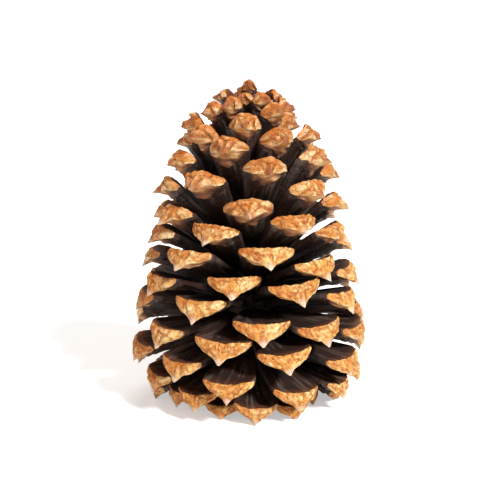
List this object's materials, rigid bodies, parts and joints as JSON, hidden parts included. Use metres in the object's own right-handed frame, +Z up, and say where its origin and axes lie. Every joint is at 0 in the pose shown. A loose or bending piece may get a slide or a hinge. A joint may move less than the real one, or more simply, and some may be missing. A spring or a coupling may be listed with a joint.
{
  "type": "pine cone",
  "caption": "Open pine cone that stands on its base: woody seed scales in a spiral round a rachis, each ending in a ridged shield with a small prickle.",
  "frame": {"origin": "on the surface that the cone stands on, under its axis", "axes": "+Z up along the rachis from the base to the tip; -Y towards the picture's camera"},
  "size_m": [0.0701, 0.0708, 0.0981],
  "materials": {
    "cone_wood": "dry woody scales: satin tan shields with paler prickles, dark brown blades"
  },
  "bodies": {
    "root": {"pine_cone": "cone_wood"}
  },
  "joints": []
}
